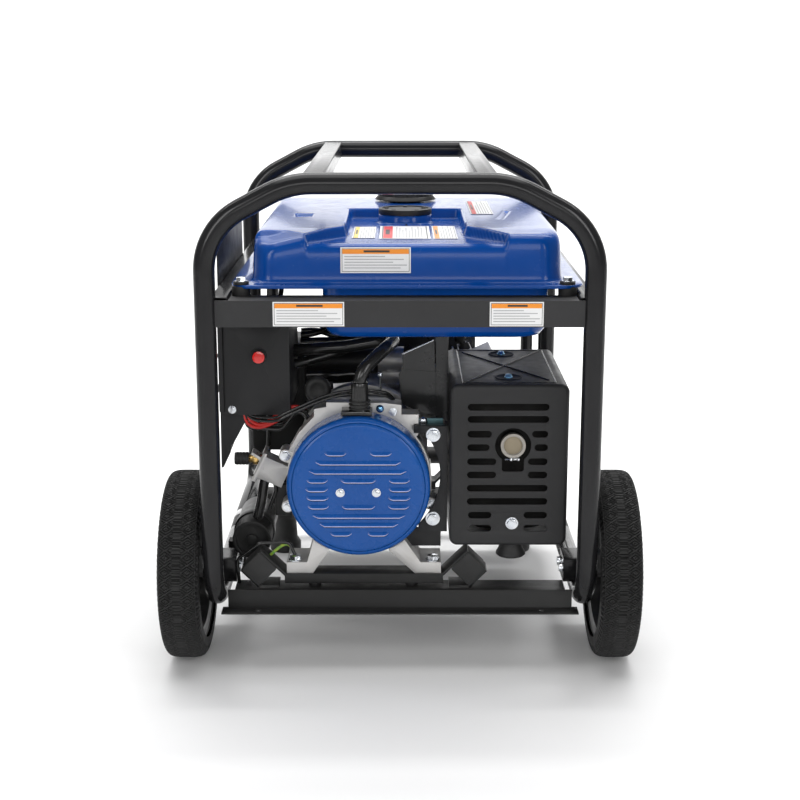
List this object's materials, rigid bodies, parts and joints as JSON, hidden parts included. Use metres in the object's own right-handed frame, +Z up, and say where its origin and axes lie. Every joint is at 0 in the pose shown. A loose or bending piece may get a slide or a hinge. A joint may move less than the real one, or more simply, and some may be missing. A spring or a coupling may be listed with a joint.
{
  "type": "portable generator",
  "caption": "Open-frame portable petrol generator with wheels, folding tow handle, steel fuel tank, guarded muffler and side control panel.",
  "frame": {"origin": "centre of the outline on the ground", "axes": "+X right seen from the alternator end, +Y from the alternator end to the recoil-start end, +Z up"},
  "size_m": [0.692, 0.716, 0.731],
  "materials": {
    "frame_black": "gloss powder coat",
    "bar_grey": "satin powder coat",
    "soft_rubber": "matt",
    "rim_black": "satin",
    "tyre_rubber": "moulded tread",
    "cover_blue": "gloss powder coat",
    "cast_alloy": "as cast",
    "core_steel": "laminated and turned",
    "cast_iron": "as cast",
    "shroud_black": "gloss",
    "moulded_black": "fine texture",
    "filter_foam": "open foam",
    "cable_black": "gloss sleeve",
    "guard_black": "satin heat-proof paint",
    "bare_steel": "heat tinted",
    "tank_blue": "gloss paint",
    "zinc_plate": "bright zinc",
    "button_red": "gloss",
    "inlet_brass": "machined"
  },
  "bodies": {
    "frame": {"near_hoop": "frame_black", "far_hoop": "frame_black", "frame_rails": "frame_black", "cross_bars": "bar_grey", "base_channels": "frame_black", "cradle_bars": "frame_black", "rubber_mounts": "soft_rubber", "rubber_feet": "soft_rubber", "stub_axles": "frame_black", "alternator_cover": "cover_blue", "alternator_end_bell": "cast_alloy", "stator": "core_steel", "crankcase": "cast_alloy", "cylinder_block": "cast_alloy", "valve_cover": "cast_alloy", "spark_plug": "soft_rubber", "fan_shroud": "shroud_black", "recoil_cover": "shroud_black", "starter_motor": "shroud_black", "air_cleaner": "moulded_black", "air_filter": "filter_foam", "carburettor": "cast_alloy", "wiring": "cable_black", "support_plate": "bar_grey", "muffler_guard": "guard_black", "muffler": "bare_steel", "exhaust_outlet": "bare_steel", "fuel_tank": "tank_blue", "fuel_gauge": "moulded_black", "fuel_valve": "zinc_plate", "control_box": "bar_grey", "control_panel": "bar_grey", "outlet_socket": "moulded_black", "gas_inlet": "inlet_brass", "gas_regulator": "cast_alloy", "vapour_canister": "moulded_black", "vent_hose": "cable_black", "frame_brackets": "frame_black", "battery": "moulded_black", "bolts": "zinc_plate"},
    "left_wheel": {"left_rim": "rim_black", "left_tyre": "tyre_rubber"},
    "right_wheel": {"right_rim": "rim_black", "right_tyre": "tyre_rubber"},
    "crank": {"crankshaft": "core_steel", "rotor": "core_steel", "flywheel": "cast_iron"},
    "pulley": {"recoil_pulley": "moulded_black"},
    "pull": {"recoil_handle": "moulded_black"},
    "cap": {"fuel_cap": "moulded_black"},
    "fuel_tap": {"fuel_lever": "moulded_black"},
    "choke": {"choke_lever": "moulded_black"},
    "red_push": {"red_button": "button_red"},
    "rocker": {"start_rocker": "moulded_black"},
    "breaker": {"breaker_button": "moulded_black"},
    "flap": {"socket_cover": "moulded_black"},
    "gas_cap": {"dust_cap": "moulded_black"},
    "oil_cap": {"dipstick": "moulded_black"},
    "handle": {"tow_handle": "frame_black", "handle_grip": "soft_rubber"}
  },
  "joints": [
    {"name": "left_wheel_spin", "type": "hinge", "parent": "frame", "child": "left_wheel", "pos_m": [0, -0.218, 0.14], "axis": [1, 0, 0], "continuous": true},
    {"name": "right_wheel_spin", "type": "hinge", "parent": "frame", "child": "right_wheel", "pos_m": [0, -0.218, 0.14], "axis": [1, 0, 0], "continuous": true},
    {"name": "crank_spin", "type": "hinge", "parent": "frame", "child": "crank", "pos_m": [-0.06, 0, 0.277], "axis": [0, 1, 0], "continuous": true},
    {"name": "recoil_pull", "type": "slide", "parent": "frame", "child": "pull", "axis": [0, 0, 1], "range_m": [0, 0.05]},
    {"name": "recoil_pulley_turn", "type": "hinge", "parent": "frame", "child": "pulley", "pos_m": [-0.06, 0, 0.277], "axis": [0, 1, 0], "range_deg": [-75, 75]},
    {"name": "fuel_cap_turn", "type": "hinge", "parent": "frame", "child": "cap", "pos_m": [0.009, 0.162, 0.66], "axis": [0, 0, 1], "range_deg": [0, 90]},
    {"name": "fuel_tap_turn", "type": "hinge", "parent": "frame", "child": "fuel_tap", "pos_m": [0.209, 0.06, 0.469], "axis": [-1, 0, 0], "range_deg": [0, 90]},
    {"name": "choke_turn", "type": "hinge", "parent": "frame", "child": "choke", "pos_m": [-0.022, 0.042, 0.425], "axis": [0, 0, 1], "range_deg": [0, 60]},
    {"name": "red_button_press", "type": "slide", "parent": "frame", "child": "red_push", "axis": [0, 1, 0], "range_m": [0, 0.002], "stiffness_N_per_m": 300},
    {"name": "rocker_tilt", "type": "hinge", "parent": "frame", "child": "rocker", "pos_m": [-0.2625, -0.178, 0.44], "axis": [0, 1, 0], "range_deg": [-6, 6]},
    {"name": "breaker_press", "type": "slide", "parent": "frame", "child": "breaker", "axis": [1, 0, 0], "range_m": [0, 0.004], "stiffness_N_per_m": 300},
    {"name": "flap_open", "type": "hinge", "parent": "frame", "child": "flap", "pos_m": [-0.272, -0.108, 0.486], "axis": [0, 1, 0], "range_deg": [0, 100]},
    {"name": "gas_cap_pull", "type": "slide", "parent": "frame", "child": "gas_cap", "axis": [-1, 0, 0], "range_m": [0, 0.022]},
    {"name": "oil_cap_turn", "type": "hinge", "parent": "frame", "child": "oil_cap", "pos_m": [-0.12, -0.015, 0.35], "axis": [0, 0, 1], "range_deg": [0, 180]},
    {"name": "handle_fold", "type": "hinge", "parent": "frame", "child": "handle", "pos_m": [0, 0.342, 0.5], "axis": [1, 0, 0], "range_deg": [0, 95]}
  ],
  "couplings": [
    {"joint": "recoil_pulley_turn", "follows": "recoil_pull", "rad_per_m": -24.39}
  ]
}
